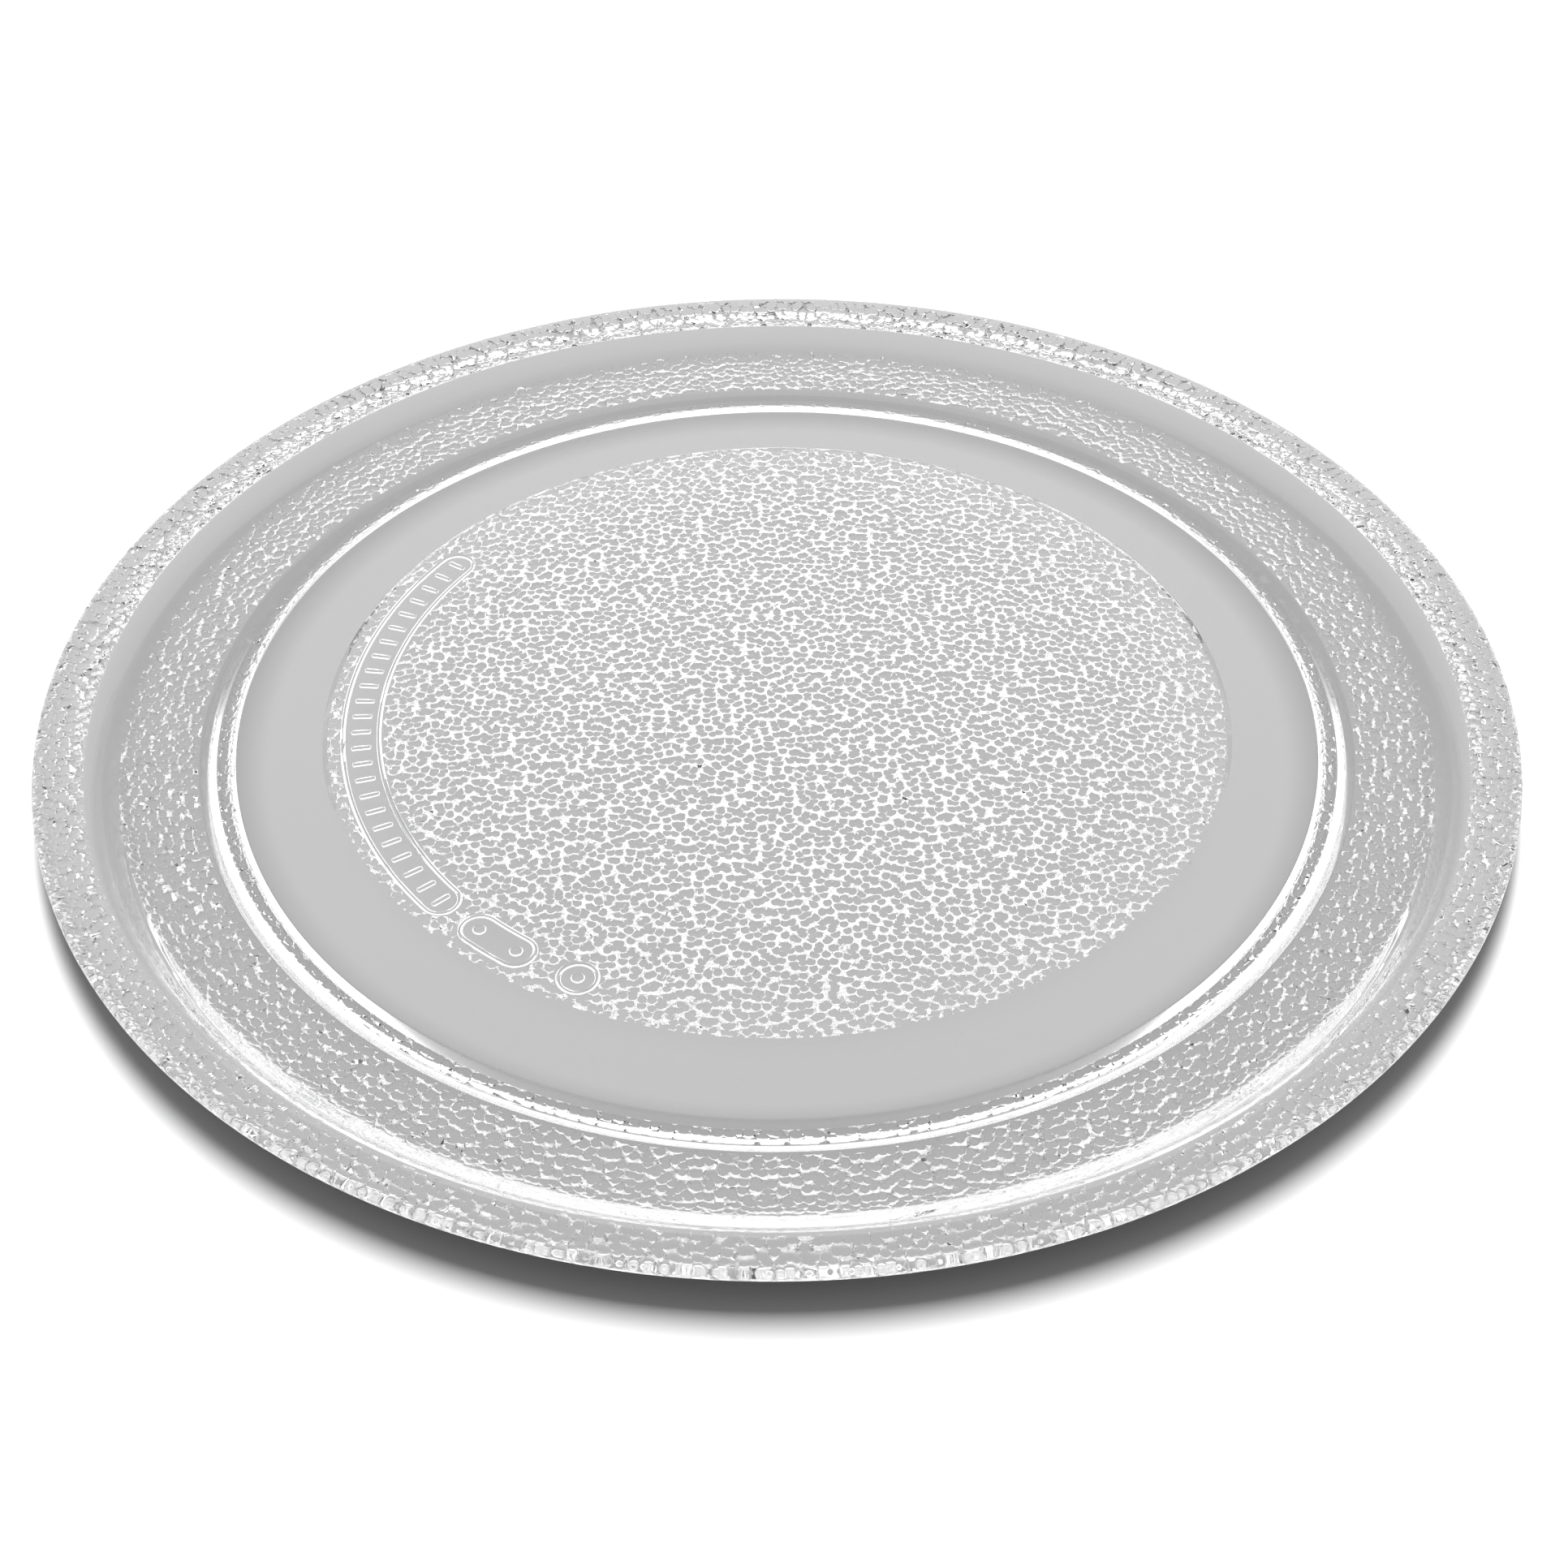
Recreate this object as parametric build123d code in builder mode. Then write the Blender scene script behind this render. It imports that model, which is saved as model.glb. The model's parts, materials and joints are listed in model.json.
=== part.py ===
import os

from build123d import *

os.makedirs("parts", exist_ok=True)

# Overall sizes of the pressed-glass turntable plate, in millimetres
plate_diameter = 245.0
glass_thickness = 4.2
rim_height = 4.0  # top of the rim above the flat top face

# Rim: a sloped wall up to a sharp ring, then a crowned land out to the edge
land_width = 6.3
land_crown = 0.35
wall_run = 6.7
edge_thickness = 1.9

# Underside of the rim: a steeper wall, a land that dips a little, a bevel up to the edge
under_wall_in = 1.4  # how far inside the upper wall it starts to rise
under_lip_in = 1.35  # how far inside the sharp ring it ends
lip_thickness = 2.65
land_thickness = 3.2
bevel_run = 3.0

# Foot ring: the downward rib the plate stands on, steeper inside than outside
foot_diameter = 185.7  # middle of the flat strip
foot_flat = 0.5  # strip that meets the table
foot_height = 2.4
inner_shoulder, inner_shoulder_rise = 0.7, 0.3
inner_wall_run = 1.1
outer_shoulder, outer_shoulder_rise = 0.9, 0.38
outer_wall_run, outer_wall_rise = 1.3, 1.18
outer_flare_run = 1.4

# Disc inside the smooth roller track, a little sunk from it
disc_diameter = 151.4
disc_sink = 0.5
disc_wall_run = 0.8

# Smooth outlined panels in the disc near its edge, angles in degrees
panel_radius = 70.1
panel_width = 6.9
panel_line = 0.8  # width of the raised outline
panel_line_raise = 0.4
long_panel_angles = (146.0, 221.6)
short_panel_angles = (229.2, 235.4)
round_panel_angle = 244.6

# Plain raised marks in the panels
mark_count = 24
mark_length = 3.4
mark_width = 0.9
mark_raise = 0.4
dot_diameter = 2.2

# Heights from the foot up, and radii, that follow from the sizes above
under_z = foot_height
disc_z = under_z + disc_sink
top_z = under_z + glass_thickness
rim_z = top_z + rim_height
land_z = rim_z - land_crown
edge_z = rim_z - edge_thickness
plate_r = plate_diameter / 2
lip_r = plate_r - land_width
wall_r = lip_r - wall_run
slope_r = wall_r - under_wall_in
step_r = lip_r - under_lip_in
step_z = rim_z - lip_thickness
bevel_r = plate_r - bevel_run
bevel_z = rim_z - land_thickness
disc_r = disc_diameter / 2
foot_in = (foot_diameter - foot_flat) / 2
foot_out = (foot_diameter + foot_flat) / 2
shoulder_in = foot_in - inner_shoulder
shoulder_out = foot_out + outer_shoulder
track_out = shoulder_in - inner_wall_run
flare_in = shoulder_out + outer_wall_run
flare_z = outer_shoulder_rise + outer_wall_rise
flare_out = flare_in + outer_flare_run

# Rounded corners of the section
foot_round = foot_height * 0.12
edge_round = edge_thickness * 0.4
wall_round = glass_thickness * 1.4
step_round = lip_thickness * 0.45
bevel_round = land_thickness * 0.55
lip_round = land_crown


def long_arc(angles):
    return CenterArc((0, 0), panel_radius, angles[0], angles[1] - angles[0])


def panel_shapes(width, mode=Mode.ADD):
    for angles in (long_panel_angles, short_panel_angles):
        SlotArc(long_arc(angles), width, mode=mode)
    with PolarLocations(panel_radius, 1, round_panel_angle):
        Circle(width / 2, mode=mode)


with BuildPart() as plate:
    # Half section, turned about the upright axis
    with BuildSketch(Plane.XZ) as section:
        with BuildLine():
            Polyline(
                (0, top_z), (0, disc_z), (disc_r, disc_z), (disc_r + disc_wall_run, under_z),
                (track_out, under_z), (shoulder_in, inner_shoulder_rise), (foot_in, 0), (foot_out, 0),
                (shoulder_out, outer_shoulder_rise), (flare_in, flare_z), (flare_out, under_z),
                (slope_r, under_z), (step_r, step_z), (bevel_r, bevel_z), (plate_r, edge_z), (plate_r, land_z))
            ThreePointArc((plate_r, land_z), ((plate_r + lip_r) / 2, rim_z), (lip_r, land_z))
            Polyline((lip_r, land_z), (wall_r, top_z), (0, top_z))
        make_face()
        corner_rounds = [
            (track_out, under_z, foot_round), (shoulder_in, inner_shoulder_rise, foot_round),
            (shoulder_out, outer_shoulder_rise, foot_round), (flare_out, under_z, foot_round),
            (slope_r, under_z, wall_round), (step_r, step_z, step_round), (bevel_r, bevel_z, bevel_round),
            (plate_r, edge_z, edge_round),
            (plate_r, land_z, edge_round), (lip_r, land_z, lip_round), (wall_r, top_z, wall_round)]
        for x, z, radius in corner_rounds:
            fillet(section.vertices().sort_by_distance((x, z, 0))[0], radius)
    revolve(axis=Axis.Z)

    # Panels: a raised line round each
    with BuildSketch(Plane.XY.offset(disc_z)):
        panel_shapes(panel_width)
        panel_shapes(panel_width - 2 * panel_line, mode=Mode.SUBTRACT)
    extrude(amount=-panel_line_raise)

    # Marks: a row of short bars in the long panel, dots in the small ones
    with BuildSketch(Plane.XY.offset(disc_z)):
        with PolarLocations(panel_radius, mark_count, long_panel_angles[0],
                            long_panel_angles[1] - long_panel_angles[0], endpoint=True):
            SlotOverall(mark_length, mark_width)
        with PolarLocations(panel_radius, 2, short_panel_angles[0],
                            short_panel_angles[1] - short_panel_angles[0], endpoint=True):
            Circle(dot_diameter / 2)
        with PolarLocations(panel_radius, 1, round_panel_angle):
            Circle(dot_diameter / 2)
    extrude(amount=-mark_raise)

plate.part.label = "glass_plate"
export_step(plate.part, "parts/glass_plate.step")
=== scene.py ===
import json
import math
import bpy
from mathutils import Matrix, Vector

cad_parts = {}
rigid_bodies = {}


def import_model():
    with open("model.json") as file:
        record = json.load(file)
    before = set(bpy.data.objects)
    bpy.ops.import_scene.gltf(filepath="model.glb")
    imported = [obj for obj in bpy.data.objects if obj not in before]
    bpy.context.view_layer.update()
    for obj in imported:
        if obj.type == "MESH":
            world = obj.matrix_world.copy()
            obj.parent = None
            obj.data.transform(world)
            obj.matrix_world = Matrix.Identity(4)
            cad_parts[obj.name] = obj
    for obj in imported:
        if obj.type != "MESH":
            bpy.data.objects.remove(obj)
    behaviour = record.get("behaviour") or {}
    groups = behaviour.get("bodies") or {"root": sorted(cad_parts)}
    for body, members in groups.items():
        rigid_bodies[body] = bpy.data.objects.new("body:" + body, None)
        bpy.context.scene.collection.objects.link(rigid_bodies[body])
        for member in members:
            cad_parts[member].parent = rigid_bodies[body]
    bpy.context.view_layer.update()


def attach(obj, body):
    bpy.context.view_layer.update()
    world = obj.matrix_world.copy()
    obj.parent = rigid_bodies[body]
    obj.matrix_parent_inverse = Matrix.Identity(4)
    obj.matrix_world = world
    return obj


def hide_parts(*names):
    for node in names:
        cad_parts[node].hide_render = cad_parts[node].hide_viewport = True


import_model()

mm = 0.001
near = 0.01  # how close to a place a point is picked, in millimetres


def deselectAll():
    if bpy.context.mode != "OBJECT":
        bpy.ops.object.mode_set(mode="OBJECT")
    bpy.ops.object.select_all(action="DESELECT")


def workOn(obj):
    deselectAll()
    obj.select_set(True)
    bpy.context.view_layer.objects.active = obj


def editClear(obj, kind):
    workOn(obj)
    bpy.ops.object.mode_set(mode="EDIT")
    bpy.ops.mesh.select_mode(type=kind)
    bpy.ops.mesh.select_all(action="DESELECT")
    bpy.ops.object.mode_set(mode="OBJECT")


def pickVerts(obj, test):
    editClear(obj, "VERT")
    for vert in obj.data.vertices:
        vert.select = test(vert.co)
    bpy.ops.object.mode_set(mode="EDIT")


def pickEdges(obj, test):
    editClear(obj, "EDGE")
    verts = obj.data.vertices
    for edge in obj.data.edges:
        edge.select = test(verts[edge.vertices[0]].co, verts[edge.vertices[1]].co)
    bpy.ops.object.mode_set(mode="EDIT")


def pickFaces(obj, test):
    editClear(obj, "FACE")
    for face in obj.data.polygons:
        face.select = test(face.center)
    bpy.ops.object.mode_set(mode="EDIT")


def radiusOf(co):
    return math.hypot(co.x, co.y) / mm


def ramp(value, low, high):
    t = min(max((value - low) / (high - low), 0), 1)
    return t * t * (3 - 2 * t)


def addNode(nodes, kind, values={}, **settings):
    # a shader node with its settings, then its inputs by name or number
    node = nodes.new("ShaderNode" + kind)
    for name, value in settings.items():
        setattr(node, name, value)
    for name, value in values.items():
        node.inputs[name].default_value = value
    return node


# Plate: its section, in millimetres
plate = {
    "radius": 122.5, "thickness": 4.2,
    "rimHeight": 4.0, "landWidth": 6.3, "landCrown": 0.35, "wallRun": 6.7, "edge": 1.9,
    # corners under the rim, radius and height over the flat underside
    "under": [(108.1, 0), (114.85, 5.55), (119.5, 5.0)],
    # section of the foot ring, out and up from its radius
    "footRadius": 92.85,
    "foot": [(-2.05, 2.4), (-0.95, 0.3), (-0.25, 0), (0.25, 0), (1.15, 0.38), (2.45, 1.56), (3.85, 2.4)],
    "discRadius": 75.7, "discSink": 0.5, "discRun": 0.8,
    # how far back each corner is rounded
    "edgeRound": 0.7, "lipRound": 0.12, "wallRound": 1.6,
    "underRound": 2.2, "stepRound": 0.5, "footRound": 0.18,
    "turns": 264,  # steps round the plate, a multiple of 4
    "landHalf": 3,  # steps from the edge up to the crown of the land
    "topInset": 5,  # from the wall in to the one face of the flat top
    "smoothAngle": 45,  # degrees
}
underZ = plate["foot"][-1][1]
discZ = underZ + plate["discSink"]
topZ = underZ + plate["thickness"]
rimZ = topZ + plate["rimHeight"]
landZ = rimZ - plate["landCrown"]
edgeZ = rimZ - plate["edge"]
lipR = plate["radius"] - plate["landWidth"]
wallR = lipR - plate["wallRun"]
topR = wallR - plate["topInset"]
(underR, _), (stepR, stepZ), (bevelR, bevelZ) = [(r, underZ + up) for r, up in plate["under"]]
footPoints = [(plate["footRadius"] + out, up) for out, up in plate["foot"]]
underIn = footPoints[-1][0]
discOut = plate["discRadius"] + plate["discRun"]
slopeRise = (stepZ - underZ) / (stepR - underR)

# Stipple under the plate, in millimetres
stipple = {
    "size": 1.1, "depth": 0.5, "middle": 0.25,  # dimples about as wide as the size, a third of the depth deep
    "turn": (0.6, 0.9, 0.3),  # turns the noise, so no row of it lies along the plate
    "cuts": 8, "triangles": 185000,  # grid in each face, and what the grid is thinned to
    "landShare": 0.5,  # share of it under the land of the rim
    # where it fades, from the edge of each of these
    "panel": (0.2, 0.9), "disc": (-0.5, 0), "foot": (0.2, 1.0),
    "wall": (-1.0, 0.6), "land": (0.1, 0.9), "rim": (-3.8, -2.4),
    # the same for the fine dimples of the glass, and their share on the foot
    "fineWall": (0, 1.6), "fineLand": (0, 0.8), "footShare": 0.4,
}


def fade(value, edge, place):
    low, high = stipple[place]
    return ramp(value, edge + low, edge + high)


def drawSection(points):
    # a plane merged to one point, pulled along the section
    deselectAll()
    bpy.ops.mesh.primitive_plane_add(size=mm)
    bpy.ops.object.mode_set(mode="EDIT")
    bpy.ops.mesh.select_all(action="SELECT")
    bpy.ops.mesh.merge(type="CENTER")
    bpy.ops.transform.translate(value=(points[0][0] * mm, 0, points[0][1] * mm))
    for here, there in zip(points, points[1:]):
        step = ((there[0] - here[0]) * mm, 0, (there[1] - here[1]) * mm)
        bpy.ops.mesh.extrude_vertices_move(TRANSFORM_OT_translate={"value": step})
    bpy.ops.object.mode_set(mode="OBJECT")
    return bpy.context.object


def roundCorner(obj, x, z, run, segments):
    pickVerts(obj, lambda co: abs(co.x / mm - x) < near and abs(co.z / mm - z) < near)
    bpy.ops.mesh.bevel(offset=run * mm, segments=segments, affect="VERTICES", profile=0.5)
    bpy.ops.object.mode_set(mode="OBJECT")


def onDisc(co):
    return radiusOf(co) < plate["discRadius"] and co.z < (discZ + 2 * near) * mm


def underRim(co):
    # the underside from the foot ring out, and a little above it
    r = radiusOf(co)
    height = min(underZ + max(0, r - underR) * slopeRise, stepZ)
    return underIn + 0.1 < r < plate["radius"] - 0.5 and co.z / mm < height + 0.9


def stippled(co):
    # all but the wall under the rim, which is smooth
    r = radiusOf(co)
    return onDisc(co) or (underRim(co) and not underR + 1.0 < r < stepR - 0.3)


def divideRun(obj, low, high, cuts):
    def inRun(a, b):
        return low < min(a.x, b.x) / mm and max(a.x, b.x) / mm < high and underRim(a) and underRim(b)

    pickEdges(obj, inRun)
    bpy.ops.mesh.subdivide(number_cuts=cuts)
    bpy.ops.object.mode_set(mode="OBJECT")


landHalf = plate["landHalf"]
landPoints = [
    (plate["radius"] - plate["landWidth"] / (2 * landHalf) * k,
     rimZ - plate["landCrown"] * ((k - landHalf) / landHalf) ** 2)
    for k in range(2 * landHalf + 1)]
trackPoints = [(discOut + 0.4, underZ), (footPoints[0][0] - 0.6, underZ)]  # they keep the track's shading flat
glassPlate = drawSection([
    (plate["discRadius"], discZ), (discOut, underZ), *trackPoints, *footPoints,
    (underR, underZ), (stepR, stepZ), (bevelR, bevelZ), (plate["radius"], edgeZ),
    *landPoints, (wallR, topZ), (topR, topZ)])
glassPlate.name = glassPlate.data.name = "pressed_glass_plate"
roundCorner(glassPlate, plate["radius"], landZ, plate["edgeRound"], 3)
roundCorner(glassPlate, plate["radius"], edgeZ, plate["edgeRound"], 3)
roundCorner(glassPlate, lipR, landZ, plate["lipRound"], 2)  # sharp ring where wall and land meet
roundCorner(glassPlate, wallR, topZ, plate["wallRound"], 5)
roundCorner(glassPlate, underR, underZ, plate["underRound"], 4)
roundCorner(glassPlate, stepR, stepZ, plate["stepRound"], 2)
roundCorner(glassPlate, bevelR, bevelZ, plate["stepRound"], 2)
for corner in (0, 1, 4, 5, 6):  # all but the two of the strip it stands on
    roundCorner(glassPlate, *footPoints[corner], plate["footRound"], 2)
# the runs between the corners under the rim are cut up, for an even grid
divideRun(glassPlate, underIn + 0.1, underR - 2.1, 2)
divideRun(glassPlate, underR + 1.6, stepR - 0.2, 2)
divideRun(glassPlate, stepR + 0.2, bevelR - 0.2, 1)
print("section drawn", len(glassPlate.data.vertices))

workOn(glassPlate)
bpy.ops.object.mode_set(mode="EDIT")
bpy.ops.mesh.select_all(action="SELECT")
bpy.ops.mesh.spin(steps=plate["turns"], angle=2 * math.pi, center=(0, 0, 0), axis=(0, 0, 1))
bpy.ops.mesh.select_all(action="SELECT")
bpy.ops.mesh.remove_doubles(threshold=near * mm)
bpy.ops.object.mode_set(mode="OBJECT")


def onTopEdge(a, b):
    return min(a.z, b.z) > (topZ - near) * mm and max(radiusOf(a), radiusOf(b)) < topR + 0.1


def onDiscEdge(a, b):
    inner, outer = sorted((radiusOf(a), radiusOf(b)))
    return (max(a.z, b.z) < (discZ + near) * mm
            and outer < plate["discRadius"] + near and inner > plate["discRadius"] - 0.1)


# the flat top is one face, the disc under it a grid
pickEdges(glassPlate, onTopEdge)
bpy.ops.mesh.edge_face_add()
bpy.ops.object.mode_set(mode="OBJECT")
pickEdges(glassPlate, onDiscEdge)
bpy.ops.mesh.fill_grid(span=plate["turns"] // 4)
bpy.ops.mesh.select_all(action="SELECT")
bpy.ops.mesh.normals_make_consistent(inside=False)
bpy.ops.object.mode_set(mode="OBJECT")
print("plate turned", len(glassPlate.data.polygons))

pickFaces(glassPlate, stippled)
bpy.ops.mesh.subdivide(number_cuts=stipple["cuts"])
bpy.ops.object.mode_set(mode="OBJECT")
print("stipple grid", len(glassPlate.data.polygons))

# Panels: smooth places in the disc, each with a raised line round it, in millimetres and degrees
panels = {
    "radius": 70.1, "width": 6.9, "line": 0.9, "lineSides": 8, "lineLift": 0.05,
    "long": (146.0, 221.6), "short": (229.2, 235.4), "round": (244.6, 244.6),
    "longSteps": 60, "shortSteps": 6, "roundSteps": 1, "endSteps": 12,  # along each line, and round its ends
    "bars": 24, "barLength": 3.4, "barWidth": 0.9, "barHeight": 0.9, "barRound": 0.3, "barLift": 0.03,
    "dot": 2.2, "dotFlat": 0.4,
}
halfPanel = panels["width"] / 2


def panelPoint(angle):
    return Vector((math.cos(math.radians(angle)), math.sin(math.radians(angle)), 0)) * panels["radius"]


def panelGap(co):
    # distance from the middle line of the nearest panel
    flat = Vector((co.x, co.y, 0)) / mm
    angle = math.degrees(math.atan2(flat.y, flat.x)) % 360
    return min((flat - panelPoint(min(max(angle, start), end))).length
               for start, end in (panels["long"], panels["short"], panels["round"]))


def discLevel(co, r):
    level = 1 - fade(r, plate["discRadius"], "disc")
    if r > panels["radius"] - panels["width"]:
        level *= fade(panelGap(co), halfPanel, "panel")
    return level


def rimLevel(r):
    level = 1 - fade(r, underR, "wall") + stipple["landShare"] * fade(r, stepR, "land")
    return level * fade(r, underIn, "foot") * (1 - fade(r, plate["radius"], "rim"))


# where the stipple is, and what may be thinned
groups = {name: glassPlate.vertex_groups.new(name=name) for name in ("stipple", "thin")}
for vert in glassPlate.data.vertices:
    r = radiusOf(vert.co)
    weights = {}
    if onDisc(vert.co):
        weights["stipple"] = discLevel(vert.co, r)
        weights["thin"] = 1.0 if r < plate["discRadius"] - 0.3 else 0.0
    elif underRim(vert.co):
        weights["stipple"] = rimLevel(r)
        weights["thin"] = 1.0 if weights["stipple"] > 0 else 0.0
    for name, weight in weights.items():
        if weight > 0:
            groups[name].add([vert.index], weight, "REPLACE")

pebbles = bpy.data.textures.new("pebbles", type="VORONOI")
pebbles.distance_metric = "DISTANCE_SQUARED"
pebbles.noise_scale = stipple["size"] * mm
deselectAll()
bpy.ops.object.empty_add(rotation=stipple["turn"])
grain = bpy.context.object
bpy.context.view_layer.update()
workOn(glassPlate)
bpy.ops.object.modifier_add(type="DISPLACE")
press = glassPlate.modifiers[-1]
press.vertex_group = "stipple"
press.strength = stipple["depth"] * mm
press.mid_level = stipple["middle"]
press.direction = "NORMAL"
press.texture = pebbles
press.texture_coords = "OBJECT"
press.texture_coords_object = grain
bpy.ops.object.modifier_apply(modifier=press.name)
bpy.data.objects.remove(grain)
print("stipple pressed in")

# thinned where the stipple allows it
glassPlate.data.calc_loop_triangles()
workOn(glassPlate)
bpy.ops.object.modifier_add(type="DECIMATE")
thin = glassPlate.modifiers[-1]
thin.vertex_group = "thin"
thin.ratio = stipple["triangles"] / len(glassPlate.data.loop_triangles)
bpy.ops.object.modifier_apply(modifier=thin.name)
print("thinned", len(glassPlate.data.polygons))


def addLineEnd():
    # section of a raised line
    bpy.ops.mesh.primitive_circle_add(vertices=panels["lineSides"], radius=panels["line"] / 2 * mm)


def turnTo(angle):
    # turns the other way with no window
    bpy.ops.transform.rotate(value=-math.radians(angle), orient_axis="Z", center_override=(0, 0, 0))


def linePanel(start, end, steps):
    # the line's end is stood up, then spun out along one side, round the end, back and round again
    bpy.ops.transform.rotate(value=math.radians(90), orient_axis="X", center_override=(0, 0, 0))
    outer = panels["radius"] + halfPanel - panels["line"] / 2
    bpy.ops.transform.translate(value=(outer * mm, 0, (discZ + panels["lineLift"]) * mm))
    turnTo(start)
    across = math.radians(end - start)
    for angle, center, count in (
            (across, Vector(), steps), (math.pi, panelPoint(end), panels["endSteps"]),
            (-across, Vector(), steps), (math.pi, panelPoint(start), panels["endSteps"])):
        if abs(angle) > 0:
            bpy.ops.mesh.spin(steps=count, angle=-angle, center=center * mm, axis=(0, 0, 1))


# Raised lines round the panels
deselectAll()
addLineEnd()
panelMarks = bpy.context.object
panelMarks.name = panelMarks.data.name = "panel_marks"
bpy.ops.object.mode_set(mode="EDIT")
bpy.ops.mesh.select_all(action="SELECT")
linePanel(*panels["long"], panels["longSteps"])
for name in ("short", "round"):
    bpy.ops.mesh.select_all(action="DESELECT")
    addLineEnd()
    linePanel(*panels[name], panels[name + "Steps"])

# Row of bars in the long panel
bpy.ops.mesh.select_all(action="DESELECT")
bpy.ops.mesh.primitive_cube_add(size=mm)
bpy.ops.transform.resize(value=(panels["barLength"], panels["barWidth"], panels["barHeight"]))
bpy.ops.mesh.bevel(offset=panels["barRound"] * mm, segments=2, affect="EDGES")
bpy.ops.mesh.select_linked(delimit=set())
bpy.ops.transform.translate(value=(panels["radius"] * mm, 0, (discZ + panels["barLift"]) * mm))
turnTo(panels["long"][0])
barTurn = math.radians(panels["long"][0] - panels["long"][1])
bpy.ops.mesh.spin(steps=panels["bars"] - 1, dupli=True, angle=barTurn, center=(0, 0, 0), axis=(0, 0, 1))

# Dots in the small panels
for angle in (*panels["short"], panels["round"][0]):
    bpy.ops.mesh.select_all(action="DESELECT")
    bpy.ops.mesh.primitive_uv_sphere_add(segments=16, ring_count=8, radius=panels["dot"] / 2 * mm)
    bpy.ops.transform.resize(value=(1, 1, panels["dotFlat"]))
    bpy.ops.transform.translate(value=panelPoint(angle) * mm + Vector((0, 0, discZ * mm)))

bpy.ops.mesh.select_all(action="SELECT")
bpy.ops.mesh.remove_doubles(threshold=2 * near * mm)
bpy.ops.mesh.normals_make_consistent(inside=False)
bpy.ops.object.mode_set(mode="OBJECT")
print("panel lines and marks", len(panelMarks.data.polygons))

# All one casting
workOn(glassPlate)
bpy.ops.object.modifier_add(type="BOOLEAN")
joinMarks = glassPlate.modifiers[-1]
joinMarks.operation = "UNION"
joinMarks.solver = "MANIFOLD"
joinMarks.object = panelMarks
bpy.ops.object.modifier_apply(modifier=joinMarks.name)
bpy.data.objects.remove(panelMarks)
bpy.ops.object.shade_smooth_by_angle(angle=math.radians(plate["smoothAngle"]))

# how deep the fine dimples of the glass are at each point
dimpled = glassPlate.data.attributes.new("dimpled", "FLOAT", "POINT")
stippleIndex = glassPlate.vertex_groups["stipple"].index
for vert in glassPlate.data.vertices:
    r = radiusOf(vert.co)
    level = max([g.weight for g in vert.groups if g.group == stippleIndex], default=0)
    if r > underR + 0.5 and underRim(vert.co):
        level = 1 - fade(r, underR, "fineWall") + fade(r, stepR, "fineLand")
    elif vert.co.z < 0.4 * mm and r < plate["footRadius"] + 0.4:
        level = stipple["footShare"]
    dimpled.data[vert.index].value = level
glassPlate.vertex_groups.clear()
glassPlate.data.calc_loop_triangles()
print("one casting", len(glassPlate.data.loop_triangles), "triangles")

# Clear pressed glass: faint changes of tint and polish, a slight waviness from the mould, fine dimples
glass = {
    "ior": 1.5, "tintPale": (0.996, 0.998, 0.997, 1), "tintDeep": (0.984, 0.989, 0.986, 1),
    "cloudScale": 22.0, "polish": 0.012, "polishFrom": 0.45, "polishTo": 0.75,
    "wave": 0.01, "waveScale": 60.0,
    "dimpleScale": 700.0, "dimpleDepth": 3.4, "dimplePower": 5.0,
}
pressedGlass = bpy.data.materials.new("pressed_glass")
pressedGlass.use_nodes = True
nodes, links = pressedGlass.node_tree.nodes, pressedGlass.node_tree.links
skin = nodes["Principled BSDF"]
skin.inputs["Transmission Weight"].default_value = 1.0
skin.inputs["IOR"].default_value = glass["ior"]
where = addNode(nodes, "TexCoord")
cloud = addNode(nodes, "TexNoise", {"Scale": glass["cloudScale"], "Detail": 0.0})
tint = addNode(nodes, "Mix", {6: glass["tintPale"], 7: glass["tintDeep"]}, data_type="RGBA")
polish = addNode(nodes, "MapRange", {
    "From Min": glass["polishFrom"], "From Max": glass["polishTo"], "To Min": 0.0, "To Max": glass["polish"]})
wave = addNode(nodes, "TexNoise", {"Scale": glass["waveScale"], "Detail": 0.0})
mould = addNode(nodes, "Bump", {"Strength": 1.0, "Distance": glass["wave"] * mm})
for noise in (cloud, wave):
    links.new(where.outputs["Object"], noise.inputs["Vector"])
links.new(cloud.outputs["Fac"], tint.inputs[0])
links.new(tint.outputs[2], skin.inputs["Base Color"])
links.new(cloud.outputs["Fac"], polish.inputs["Value"])
links.new(polish.outputs["Result"], skin.inputs["Roughness"])
links.new(wave.outputs["Fac"], mould.inputs["Height"])
# each dimple is a power of the distance from its middle, so flat there and steep where two meet
cells = addNode(nodes, "TexVoronoi", {"Scale": glass["dimpleScale"]}, voronoi_dimensions="2D")
bowl = addNode(nodes, "Math", {1: glass["dimplePower"]}, operation="POWER")
mask = addNode(nodes, "Attribute", attribute_name="dimpled")
masked = addNode(nodes, "Math", operation="MULTIPLY")
dimples = addNode(nodes, "Bump", {"Strength": 1.0, "Distance": glass["dimpleDepth"] * mm})
links.new(where.outputs["Object"], cells.inputs["Vector"])
links.new(cells.outputs["Distance"], bowl.inputs[0])
links.new(bowl.outputs[0], masked.inputs[0])
links.new(mask.outputs["Fac"], masked.inputs[1])
links.new(masked.outputs[0], dimples.inputs["Height"])
links.new(mould.outputs["Normal"], dimples.inputs["Normal"])
links.new(dimples.outputs["Normal"], skin.inputs["Normal"])
glassPlate.data.materials.clear()
glassPlate.data.materials.append(pressedGlass)
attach(glassPlate, "root")
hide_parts("glass_plate")
print("glass set")

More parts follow.
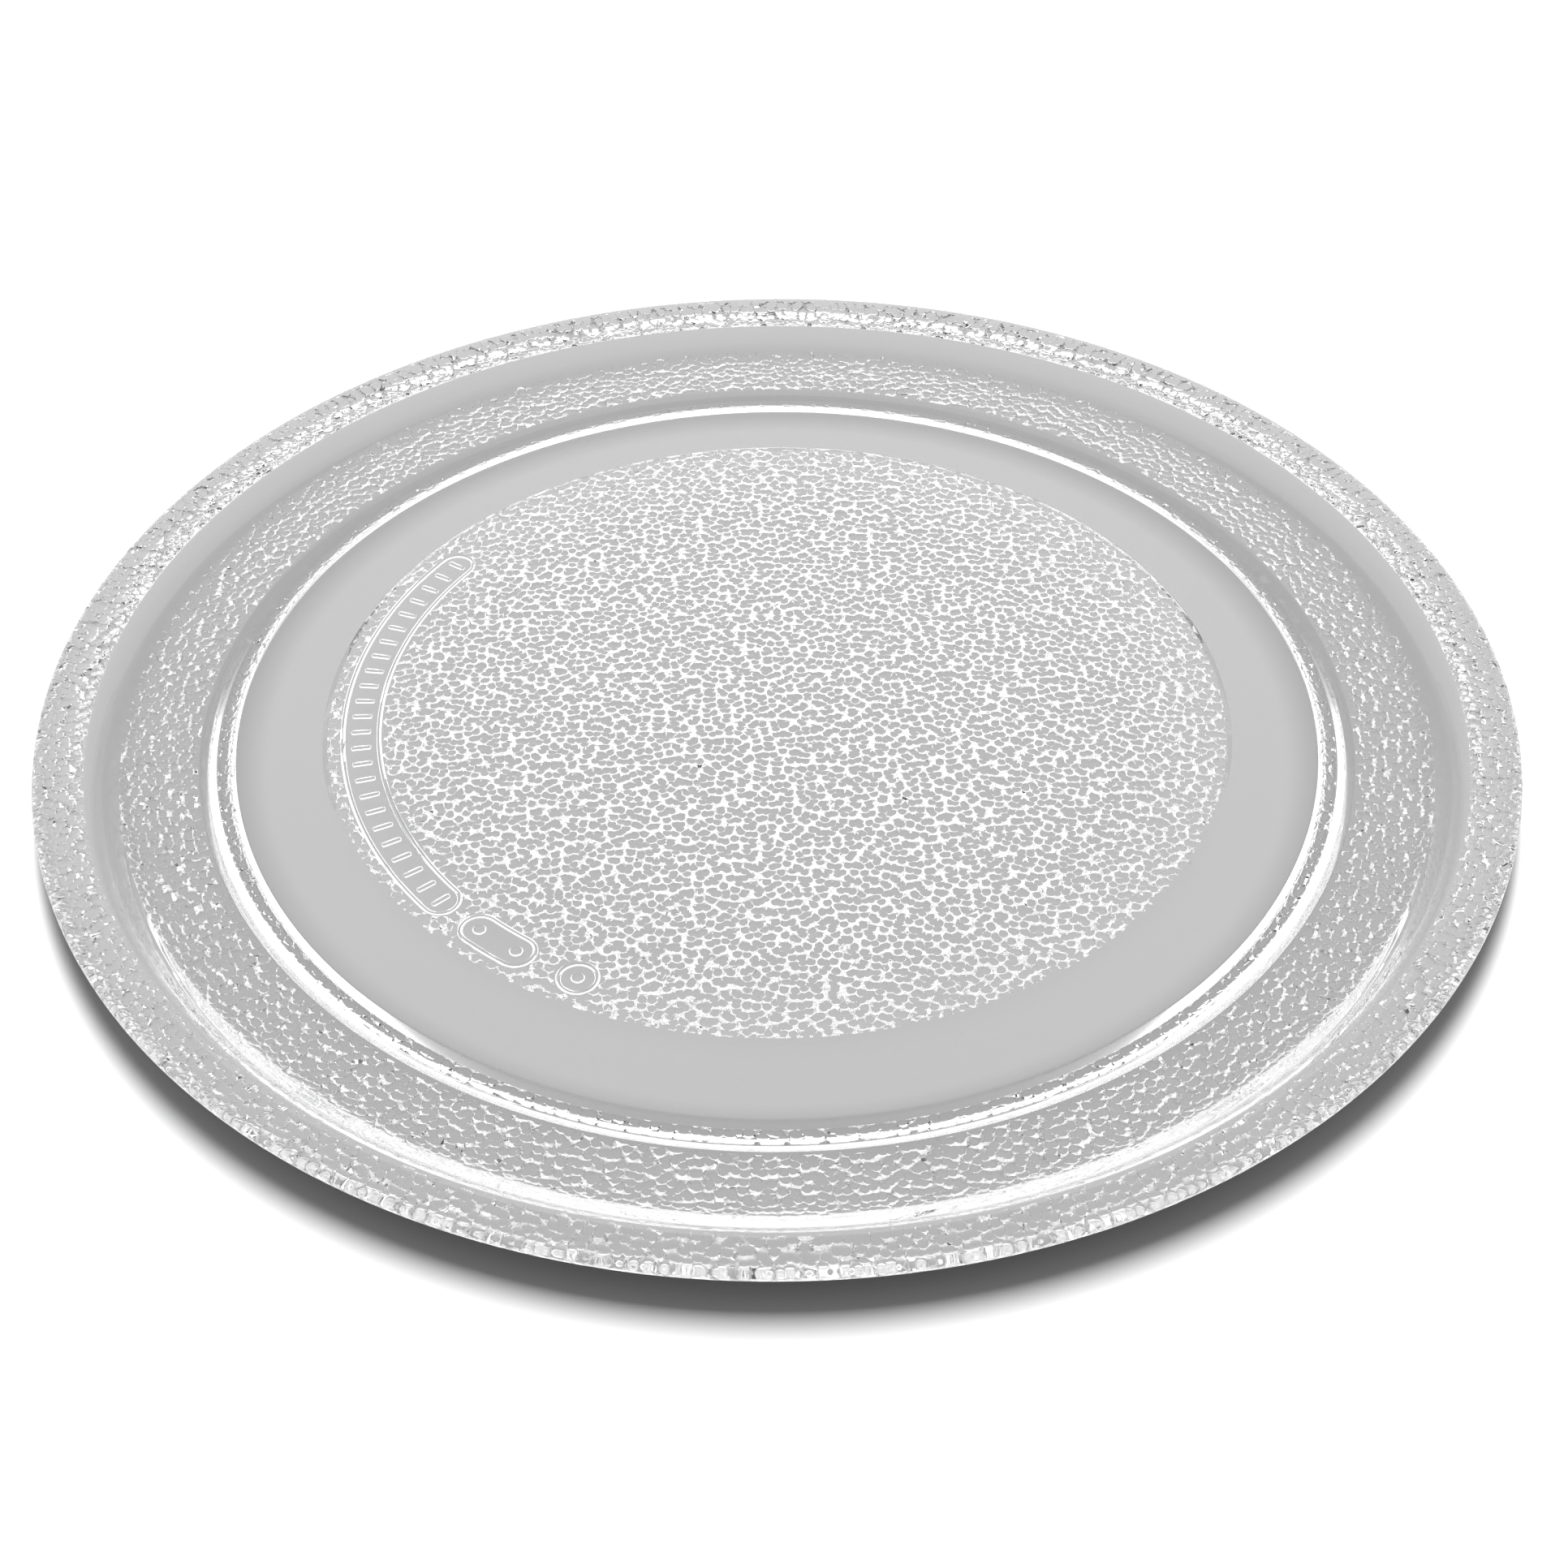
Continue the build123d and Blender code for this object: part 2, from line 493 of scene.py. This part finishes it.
# Floor and light: white paper, with a painted shade that the glass sees as a soft grey under and round the
# plate, in a white room
studio = {
    "paper": 0.9, "paperRough": 0.9, "paperSize": 6, "paperDrop": 0.2,
    # painted shade of the paper under the plate, a set grey by radius in millimetres, with a darker ring under
    # the foot as a painted contact shadow
    "shade": [(0, 0.38), (60, 0.39), (78, 0.46), (86, 0.46), (91.5, 0.3),
              (94, 0.3), (99, 0.36), (112, 0.36), (118, 0.46), (124, 0.5)],
    "open": (123.0, 130.0), "openShift": 9.0,  # white beyond the shade, which falls a little to the back
    "far": (250.0, 400.0),  # white to the camera as well
    "sky": 1.6, "skyOnPaper": 0.36,  # the room as it is seen, and the light it gives the paper
    "lampPlace": (0, 0, 1.0), "lampSize": (0.2, 0.65), "lampWatts": 12.5,
}
shadeEnd = studio["shade"][-1][0]
deselectAll()
bpy.ops.mesh.primitive_plane_add(size=studio["paperSize"], location=(0, 0, -studio["paperDrop"] * mm))
paper = bpy.context.object
paper.name = "paper_floor"
bpy.ops.object.transform_apply(location=True, rotation=True, scale=True)
paperWithPaintedShade = bpy.data.materials.new("paper_white_with_painted_shade")
paperWithPaintedShade.use_nodes = True
nodes, links = paperWithPaintedShade.node_tree.nodes, paperWithPaintedShade.node_tree.links
face = nodes["Principled BSDF"]
face.inputs["Base Color"].default_value = (studio["paper"],) * 3 + (1,)
face.inputs["Roughness"].default_value = studio["paperRough"]
face.inputs["Specular IOR Level"].default_value = 0.0
# the paper glows with its painted shade for the rays of the glass
seen = addNode(nodes, "Emission")
where = addNode(nodes, "TexCoord")
reach = addNode(nodes, "VectorMath", operation="LENGTH")
span = addNode(nodes, "MapRange", {"From Max": shadeEnd * mm})
# painted shade: a grey ramp by radius under the plate, darkest in a ring under the foot as a painted contact
# shadow
shade = addNode(nodes, "ValToRGB")
stops = shade.color_ramp.elements
while len(stops) < len(studio["shade"]):
    stops.new(0.5)
for stop, (r, level) in zip(stops, studio["shade"]):
    stop.position = r / shadeEnd
    stop.color = (level, level, level, 1)
# white beyond the shade
shift = addNode(nodes, "VectorMath", {1: (0, -studio["openShift"] * mm, 0)})
away = addNode(nodes, "VectorMath", operation="LENGTH")
openPaper = addNode(nodes, "MapRange", {
    "From Min": studio["open"][0] * mm, "From Max": studio["open"][1] * mm})
lighter = addNode(nodes, "Math", operation="MAXIMUM")
links.new(where.outputs["Object"], reach.inputs[0])
links.new(reach.outputs["Value"], span.inputs["Value"])
links.new(span.outputs["Result"], shade.inputs["Fac"])
links.new(where.outputs["Object"], shift.inputs[0])
links.new(shift.outputs[0], away.inputs[0])
links.new(away.outputs["Value"], openPaper.inputs["Value"])
links.new(shade.outputs["Color"], lighter.inputs[0])
links.new(openPaper.outputs["Result"], lighter.inputs[1])
links.new(lighter.outputs[0], seen.inputs["Strength"])
# seen so by the glass, painted shade and all, and far from the plate by the camera too
path = addNode(nodes, "LightPath")
either = addNode(nodes, "Math", operation="MAXIMUM")
farPaper = addNode(nodes, "MapRange", {
    "From Min": studio["far"][0] * mm, "From Max": studio["far"][1] * mm})
farSeen = addNode(nodes, "Math", operation="MULTIPLY")
glowing = addNode(nodes, "Math", operation="MAXIMUM")
blend = addNode(nodes, "MixShader")
links.new(path.outputs["Is Transmission Ray"], either.inputs[0])
links.new(path.outputs["Is Glossy Ray"], either.inputs[1])
links.new(reach.outputs["Value"], farPaper.inputs["Value"])
links.new(farPaper.outputs["Result"], farSeen.inputs[0])
links.new(path.outputs["Is Camera Ray"], farSeen.inputs[1])
links.new(either.outputs[0], glowing.inputs[0])
links.new(farSeen.outputs[0], glowing.inputs[1])
links.new(glowing.outputs[0], blend.inputs[0])
links.new(face.outputs[0], blend.inputs[1])
links.new(seen.outputs[0], blend.inputs[2])
# clear from below, so that the underside can be looked at
side = addNode(nodes, "NewGeometry")
clear = addNode(nodes, "BsdfTransparent")
oneSided = addNode(nodes, "MixShader")
links.new(side.outputs["Backfacing"], oneSided.inputs[0])
links.new(blend.outputs[0], oneSided.inputs[1])
links.new(clear.outputs[0], oneSided.inputs[2])
links.new(oneSided.outputs[0], nodes["Material Output"].inputs["Surface"])
paper.data.materials.append(paperWithPaintedShade)

# White room round it
room = bpy.data.worlds.new("white_room")
bpy.context.scene.world = room
room.use_nodes = True
nodes, links = room.node_tree.nodes, room.node_tree.links
sky = nodes["Background"]
sky.inputs["Color"].default_value = (1, 1, 1, 1)
path = addNode(nodes, "LightPath")
dim = addNode(nodes, "MapRange", {"To Min": studio["sky"], "To Max": studio["skyOnPaper"]})
links.new(path.outputs["Is Diffuse Ray"], dim.inputs["Value"])
links.new(dim.outputs["Result"], sky.inputs["Strength"])

lamp = bpy.data.lights.new("overhead", "AREA")
lamp.shape = "RECTANGLE"
lamp.size, lamp.size_y = studio["lampSize"]
lamp.energy = studio["lampWatts"]
overhead = bpy.data.objects.new("overhead", lamp)
bpy.context.scene.collection.objects.link(overhead)
overhead.location = studio["lampPlace"]
overhead.rotation_euler = (-Vector(studio["lampPlace"])).to_track_quat("-Z", "Y").to_euler()
overhead.visible_glossy = overhead.visible_transmission = False  # the glass mirrors the white room alone
print("studio set")

# Camera fitted to the rings of the plate, in pixels of the square picture
view = {
    "elevation": 42.16, "distance": 0.4162, "aim": 4.0, "roll": -0.25,
    "picture": 1932, "focal": 3017.0, "centre": (957.8, 871.7), "sensor": 36,
}
tilt = math.radians(view["elevation"])
right = Vector((1, 0, 0))
up = Vector((0, math.sin(tilt), math.cos(tilt)))
back = Vector((0, -math.cos(tilt), math.sin(tilt)))
perPixel = view["distance"] / view["focal"]
middle = view["picture"] / 2
eye = (back * view["distance"] - right * (view["centre"][0] - middle) * perPixel
       - up * (middle - view["centre"][1]) * perPixel + Vector((0, 0, view["aim"] * mm)))
facing = Matrix((right, up, back)).transposed().to_4x4()
lens = bpy.data.cameras.new("camera")
lens.sensor_width = view["sensor"]
lens.lens = view["focal"] / view["picture"] * view["sensor"]
camera = bpy.data.objects.new("camera", lens)
bpy.context.scene.collection.objects.link(camera)
camera.matrix_world = Matrix.Translation(eye) @ facing @ Matrix.Rotation(math.radians(view["roll"]), 4, "Z")
scene = bpy.context.scene
scene.camera = camera
scene.view_settings.view_transform = "Standard"
# clear glass needs long light paths, and its shadow stays soft and plain
scene.cycles.max_bounces = 20
scene.cycles.glossy_bounces = 18
scene.cycles.transmission_bounces = 18
scene.cycles.caustics_refractive = False
scene.cycles.caustics_reflective = False
